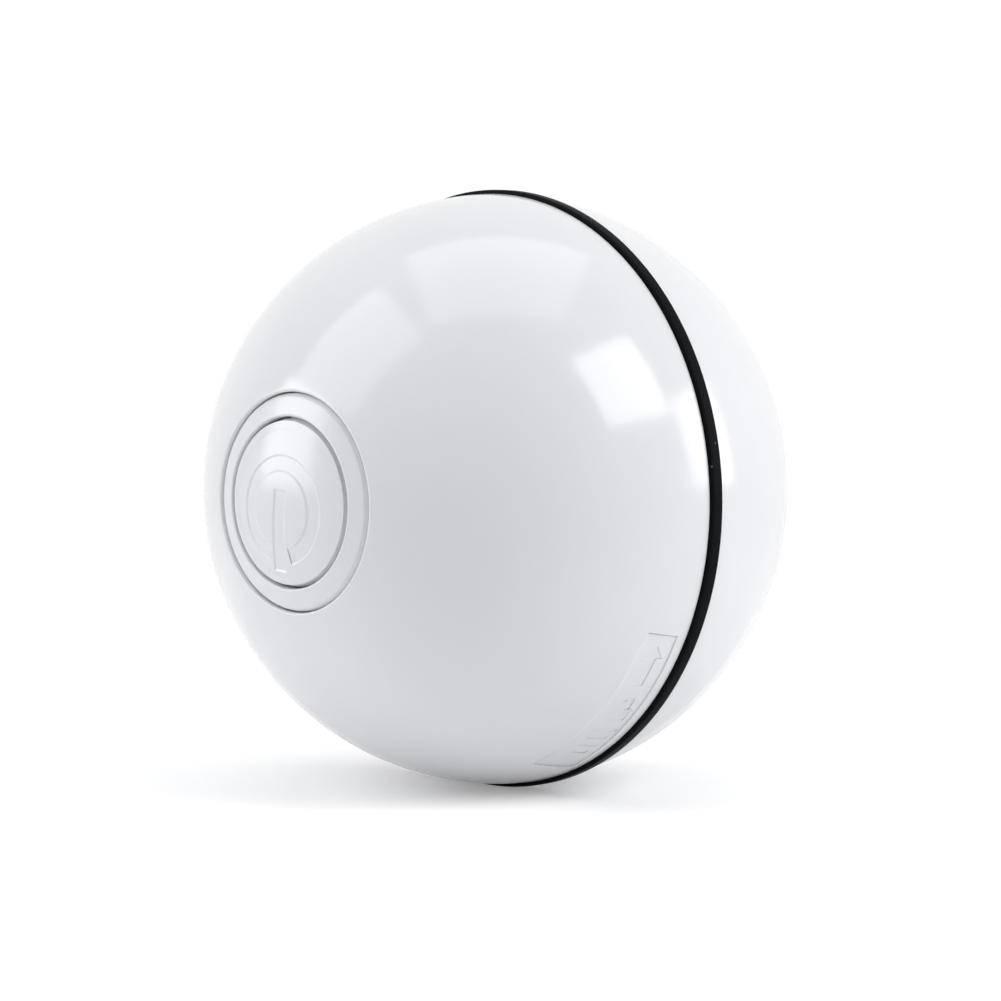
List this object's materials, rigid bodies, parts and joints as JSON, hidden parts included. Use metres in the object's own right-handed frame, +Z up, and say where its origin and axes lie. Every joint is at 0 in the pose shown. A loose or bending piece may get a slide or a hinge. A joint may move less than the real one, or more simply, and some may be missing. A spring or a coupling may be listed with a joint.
{
  "type": "self-rolling cat ball",
  "caption": "Two-part toy ball with a rubber tread ring, a pole push button and a weighted, geared drive pod inside.",
  "frame": {"origin": "the ball's centre, on the middle plane of the tread ring", "axes": "+Z up; Y is the rolling axis, with the push button at -Y and the twist-off half at +Y; the ball rolls along X"},
  "size_m": [0.064, 0.0618, 0.064],
  "materials": {
    "shell_white": "gloss",
    "tread_rubber": "satin",
    "bezel_white": "satin",
    "button_white": "gloss",
    "boot_silicone": "matte",
    "spring_steel": "satin",
    "screw_steel": "satin",
    "shaft_steel": "polished",
    "weight_steel": "matte",
    "gear_acetal": "satin",
    "washer_nylon": "satin",
    "pod_plastic": "satin",
    "bush_brass": "satin",
    "motor_can": "satin",
    "cell_sleeve": "satin",
    "foam_grey": "matte",
    "wire_red": "satin",
    "board_green": "satin",
    "chip_black": "matte",
    "port_metal": "satin",
    "lamp_clear": "gloss",
    "stem_plastic": "satin"
  },
  "bodies": {
    "front_half": {"front_shell": "shell_white", "rubber_ring": "tread_rubber", "button_bezel": "bezel_white", "ring_gear": "gear_acetal", "ring_gear_screws": "screw_steel", "thrust_washer": "washer_nylon", "hub_clip": "spring_steel"},
    "button": {"button_cap": "button_white", "button_clip": "spring_steel", "button_boot": "boot_silicone"},
    "pod": {"pod_frame": "pod_plastic", "front_bush": "bush_brass", "gear_plate": "pod_plastic", "gear_plate_screws": "screw_steel", "motor": "motor_can", "motor_screws": "screw_steel", "idler_axle": "shaft_steel", "battery": "cell_sleeve", "battery_cradle": "foam_grey", "battery_top_pad": "foam_grey", "battery_leads": "wire_red", "counterweight": "weight_steel", "pod_cover": "pod_plastic", "pod_cover_screws": "screw_steel", "circuit_board": "board_green", "board_components": "chip_black", "charging_port": "port_metal", "indicator_leds": "lamp_clear", "switch_board": "board_green", "switch_base": "chip_black", "switch_leads": "wire_red", "pivot_pin": "shaft_steel"},
    "switch_plunger": {"switch_stem": "stem_plastic"},
    "output_drive": {"output_gear": "gear_acetal", "output_shaft": "shaft_steel", "output_pinion": "gear_acetal"},
    "idler": {"idler_gear": "gear_acetal"},
    "motor_rotor": {"motor_shaft": "shaft_steel", "motor_pinion": "bush_brass"},
    "rear_pivot": {"rear_bush": "washer_nylon"},
    "rear_half": {"rear_shell": "shell_white"}
  },
  "joints": [
    {"name": "pod_spin", "type": "hinge", "parent": "front_half", "child": "pod", "pos_m": [0, 0, 0], "axis": [0, 1, 0], "continuous": true},
    {"name": "output_spin", "type": "hinge", "parent": "pod", "child": "output_drive", "pos_m": [-0.00199, 0, 0.01285], "axis": [0, 1, 0], "continuous": true},
    {"name": "idler_spin", "type": "hinge", "parent": "pod", "child": "idler", "pos_m": [0.00593, 0, 0.01173], "axis": [0, 1, 0], "continuous": true},
    {"name": "motor_spin", "type": "hinge", "parent": "pod", "child": "motor_rotor", "pos_m": [0.008, 0, 0.004], "axis": [0, 1, 0], "continuous": true},
    {"name": "button_press", "type": "slide", "parent": "front_half", "child": "button", "axis": [0, 1, 0], "range_m": [0, 0.0006], "stiffness_N_per_m": 2000, "springref_m": -0.0002, "deforming": ["button_boot"]},
    {"name": "switch_press", "type": "slide", "parent": "pod", "child": "switch_plunger", "axis": [0, 1, 0], "range_m": [0, 0.0005]},
    {"name": "rear_pull", "type": "slide", "parent": "front_half", "child": "rear_pivot", "axis": [0, 1, 0], "range_m": [0, 0.045]},
    {"name": "rear_twist", "type": "hinge", "parent": "rear_pivot", "child": "rear_half", "pos_m": [0, 0, 0], "axis": [0, 1, 0], "range_deg": [0, 20]}
  ],
  "couplings": [
    {"joint": "output_spin", "follows": "pod_spin", "ratio": -5.3333},
    {"joint": "idler_spin", "follows": "pod_spin", "ratio": 16},
    {"joint": "motor_spin", "follows": "pod_spin", "ratio": -48},
    {"joint": "switch_press", "follows": "button_press", "ratio": 0.8333}
  ]
}
